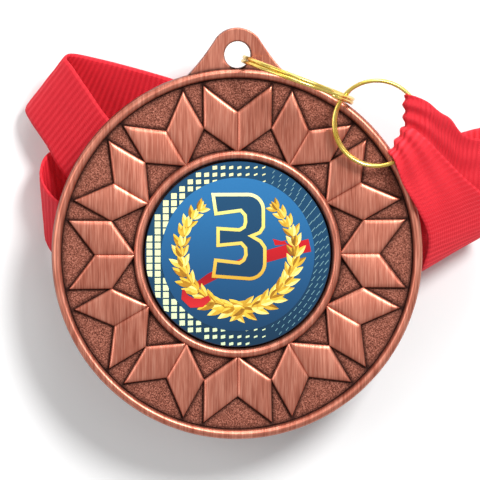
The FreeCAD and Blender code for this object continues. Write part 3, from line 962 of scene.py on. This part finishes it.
# Stations: top selvedge and bottom selvedge, mm from the disc's centre and the floor.
RING_TO_HANK = [
    ((23.3, 16.6, 13.0), (21.4, 13.4, 13.15)),
    ((22.6, 17.2, 13.4), (20.6, 13.4, 13.5)),
    ((22.5, 17.2, 14.5), (20.4, 13.4, 14.4)),
    ((23.3, 17.0, 15.9), (20.8, 12.9, 15.3)),
    ((25.3, 15.4, 15.9), (21.3, 11.4, 15.3)),
    ((27.5, 13.2, 14.9), (22.1, 9.4, 14.6)),
    ((30.4, 10.4, 13.3), (23.4, 7.3, 14.1)),
    ((33.0, 8.2, 11.2), (24.6, 5.2, 13.3)),
    ((34.8, 6.2, 8.6), (25.6, 3.0, 11.9)),
    ((35.0, 3.6, 6.4), (25.9, 0.4, 10.1)),
    ((34.5, 2.2, 4.2), (25.3, -2.4, 8.0)),
    ((33.2, 2.6, 1.9), (24.6, -3.1, 5.6)),
    ((30.6, 4.0, 0.7), (23.4, -3.2, 3.4)),
    ((27.0, 5.2, 0.5), (22.6, -3.6, 1.8)),
    ((23.4, 6.6, 0.45), (22.2, -4.0, 0.6)),
]
HANK_TO_RING = [
    ((-12.0, 6.0, 9.7), (-12.0, -4.6, 8.4)),
    ((-17.0, 5.0, 9.4), (-17.2, -4.6, 4.9)),
    ((-21.2, 5.3, 8.9), (-21.5, -3.5, 2.5)),
    ((-24.2, 7.1, 8.4), (-23.9, -1.3, 1.6)),
    ((-26.0, 9.4, 7.2), (-25.3, 0.9, 1.0)),
    ((-26.2, 11.6, 5.4), (-25.1, 2.2, 0.5)),
    ((-25.0, 13.4, 3.8), (-23.8, 3.2, 0.35)),
    ((-22.0, 14.6, 2.8), (-20.4, 4.0, 0.3)),
    ((-18.6, 15.2, 2.2), (-17.4, 4.6, 0.3)),
    ((-14.4, 15.2, 2.8), (-14.2, 4.6, 0.4)),
    ((-10.6, 14.4, 4.2), (-12.0, 4.2, 1.4)),
    ((-8.8, 13.2, 6.2), (-11.4, 3.8, 3.0)),
    ((-9.4, 13.0, 8.2), (-13.0, 4.0, 4.8)),
    ((-12.2, 14.2, 9.5), (-16.8, 5.2, 5.8)),
    ((-16.9, 17.8, 9.7), (-22.8, 10.2, 5.4)),
    ((-19.9, 21.9, 9.4), (-25.5, 14.5, 5.0)),
    ((-22.0, 25.0, 8.8), (-27.5, 17.5, 4.2)),
    ((-22.9, 26.3, 7.6), (-28.2, 19.1, 2.6)),
    ((-21.9, 26.8, 6.4), (-27.0, 19.6, 1.2)),
    ((-18.4, 26.1, 6.0), (-22.4, 17.6, 0.5)),
    ((-13.4, 24.8, 5.9), (-16.0, 16.2, 0.4)),
    ((-7.0, 22.9, 4.4), (-8.4, 12.8, 0.4)),
    ((0.0, 20.6, 2.4), (-0.6, 9.9, 0.4)),
    ((7.0, 19.2, 2.2), (7.0, 8.4, 0.4)),
    ((14.0, 17.2, 4.6), (14.6, 7.9, 0.5)),
    ((20.2, 13.9, 8.2), (21.6, 7.8, 0.9)),
    ((25.4, 13.2, 7.6), (26.4, 7.5, 0.9)),
    ((30.4, 15.4, 1.9), (31.0, 7.0, 0.6)),
    ((34.8, 16.6, 1.1), (34.4, 7.6, 0.8)),
    ((37.4, 17.2, 3.0), (36.6, 8.4, 3.0)),
    ((37.3, 17.0, 6.0), (36.5, 8.6, 5.8)),
    ((34.4, 15.2, 8.8), (33.4, 7.4, 8.6)),
    ((30.6, 16.0, 11.2), (29.7, 8.4, 10.2)),
    ((28.6, 18.2, 13.0), (27.6, 11.2, 12.1)),
    ((27.0, 19.2, 14.4), (26.6, 12.8, 13.2)),
    ((25.4, 20.5, 15.5), (25.2, 14.9, 15.0)),
    ((23.9, 21.2, 15.6), (23.6, 16.4, 15.25)),
    ((22.8, 21.5, 15.1), (22.6, 17.0, 15.0)),
    ((22.5, 21.4, 13.7), (22.6, 17.4, 13.6)),
    ((23.6, 20.9, 13.0), (23.9, 17.2, 13.0)),
]


def hank_stations():
    """The folded length: flat layers to and fro, with a tight turn between each two."""
    low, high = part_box("ribbon_hank")
    pitch = (high[2] - low[2]) / HANK_LAYERS
    turn_r = pitch / 2
    stations = []

    def station(x, z):
        stations.append((Vector((x, high[1], z)), Vector((x, low[1], z))))

    for layer in range(HANK_LAYERS):
        level = low[2] + pitch * (layer + 0.5)
        near, far = (high[0], low[0]) if layer % 2 == 0 else (low[0], high[0])
        inward = 1 if far > near else -1
        for share in (0.0, 0.25, 0.5, 0.75, 1.0):
            x = near + inward * turn_r + (far - near - 2 * inward * turn_r) * share
            station(x, level)
        if layer < HANK_LAYERS - 1:
            station(far - inward * turn_r * 0.3, level + turn_r * 0.3)
            station(far, level + turn_r)
            station(far - inward * turn_r * 0.3, level + 2 * turn_r - turn_r * 0.3)
    return stations


def spline_points(points, step):
    """Points about step[k] metres apart after station k, on a Catmull-Rom line through the stations."""
    rows = np.array([[list(a) + list(b)] for a, b in points]).reshape(len(points), 6)
    out = []
    count = len(rows)
    for k in range(count - 1):
        p0, p1, p2, p3 = rows[max(k - 1, 0)], rows[k], rows[k + 1], rows[min(k + 2, count - 1)]
        length = max(np.linalg.norm(p2[:3] - p1[:3]), np.linalg.norm(p2[3:] - p1[3:]))
        pieces = max(2, int(math.ceil(length / step[k])))
        for j in range(pieces):
            u = j / pieces
            out.append(0.5 * (2 * p1 + (p2 - p0) * u + (2 * p0 - 5 * p1 + 4 * p2 - p3) * u ** 2
                              + (3 * p1 - p0 - 3 * p2 + p3) * u ** 3))
    out.append(rows[-1])
    return np.array(out)


def make_ribbon():
    """The strip as one closed mesh: a grid of points across each step, over the top and back below."""
    ahead = [(at(*a), at(*b)) for a, b in RING_TO_HANK]
    hank = hank_stations()
    behind = [(at(*a), at(*b)) for a, b in HANK_TO_RING]
    stations = ahead + hank + behind
    step = [FINE_STEP] * len(ahead) + [COARSE_STEP] * len(hank) + [FINE_STEP] * len(behind)
    path = spline_points(stations, step)
    top, low = path[:, :3], path[:, 3:]
    middle = (top + low) / 2
    travel = np.gradient(middle, axis=0)
    travel /= np.linalg.norm(travel, axis=1)[:, None]
    length = np.concatenate([[0], np.cumsum(np.linalg.norm(np.diff(middle, axis=0), axis=1))])
    across = top - low
    width = np.linalg.norm(across, axis=1)
    normal = np.cross(travel, across)
    normal /= np.linalg.norm(normal, axis=1)[:, None]

    total = len(path)
    share = np.linspace(0, 1, COLUMNS)
    edge_mm = np.minimum(share, 1 - share) * RIBBON_WIDTH / MM
    ribbed = np.clip((edge_mm - 0.25) / 0.35, 0, 1)
    phase = np.cos(2 * math.pi * length / (RIB_PITCH_MM * MM))
    # where the strip is gathered narrower than it was woven, it lies in pleats
    squeeze = np.clip(1 - width / RIBBON_WIDTH, 0, 0.7)
    folds = np.sin(share[None, :] * 2 * math.pi * PLEATS + length[:, None] / (2.6 * MM))
    pleats = folds * (squeeze[:, None] ** 1.2) * PLEAT_DEPTH
    relief = 0.15 + 0.3 * squeeze
    thick = RIBBON_THICKNESS / 2 * (1 + relief[:, None] * phase[:, None] * ribbed[None, :])
    thick = thick * np.where(edge_mm < 0.05, 0.55, 1.0)[None, :]
    flat = low[:, None, :] + across[:, None, :] * share[None, :, None]
    surface = flat + normal[:, None, :] * pleats[:, :, None]
    upper = surface + normal[:, None, :] * thick[:, :, None]
    under = surface - normal[:, None, :] * thick[:, :, None]
    upper[:, :, 2] = np.maximum(upper[:, :, 2], FLOOR_GAP)
    under[:, :, 2] = np.maximum(under[:, :, 2], FLOOR_GAP)
    ring = np.concatenate([upper, under[:, ::-1, :]], axis=1)
    around = 2 * COLUMNS
    vertices = ring.reshape(-1, 3)
    faces = grid_faces(total, around, wrap_columns=True)
    faces.append(tuple(range(around - 1, -1, -1)))
    faces.append(tuple(range((total - 1) * around, total * around)))
    mesh = bpy.data.meshes.new("neck_ribbon")
    mesh.from_pydata([tuple(v) for v in vertices], [], faces)
    mesh.update()
    across_mm = np.concatenate([share, share[::-1]]) * RIBBON_WIDTH / MM
    set_attribute(mesh, "along", np.repeat(length / MM, around))
    set_attribute(mesh, "across", np.tile(across_mm, total))
    set_attribute(mesh, "gathered", np.repeat(squeeze, around))
    # painted shade: only the under face is coloured a deeper red, for the shade inside the loops
    under_face_shade = np.concatenate([np.zeros(COLUMNS), np.full(COLUMNS, 0.75)])
    set_attribute(mesh, "shade", np.tile(under_face_shade, total))
    ribbon = add_object("neck_ribbon", mesh, ribbon_material())
    face_outwards(mesh)
    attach(ribbon, "ribbon")
    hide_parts("ribbon_gather", "ribbon_hank", "ribbon_right_loop", "ribbon_lower_left_loop",
                "ribbon_hidden_turn", "ribbon_upper_left_loop", "ribbon_crossing_run",
                "ribbon_upper_right_leg")


def plain_material(name, colour, rough):
    n = Nodes(name)
    cloud = n.noise(n.place(), 900.0, 2.0)
    darker = tuple(channel * 0.8 for channel in colour[:3]) + (1,)
    n.link(n.ramp(cloud, [(0.3, darker), (0.7, colour)]), n.shader.inputs["Base Color"])
    n.shader.inputs["Roughness"].default_value = rough
    return n.material


def dress_cad_nodes():
    """Materials for the two small CAD pieces that stay as they are: adhesive pad and sewing thread."""
    for node, material in (("emblem_adhesive", plain_material("adhesive_pad", srgb(226, 224, 214), 0.8)),
                           ("ribbon_stitching", plain_material("red_thread", srgb(190, 20, 36), 0.75))):
        for slot in frame["nodes"][node].material_slots:
            slot.material = material


# no film curve, so the materials' display colours come out as they are given
bpy.context.scene.view_settings.view_transform = "Standard"
make_camera()
make_ribbon()
make_stage()
make_medal(copper_material())
make_emblem()
make_rings()
dress_cad_nodes()
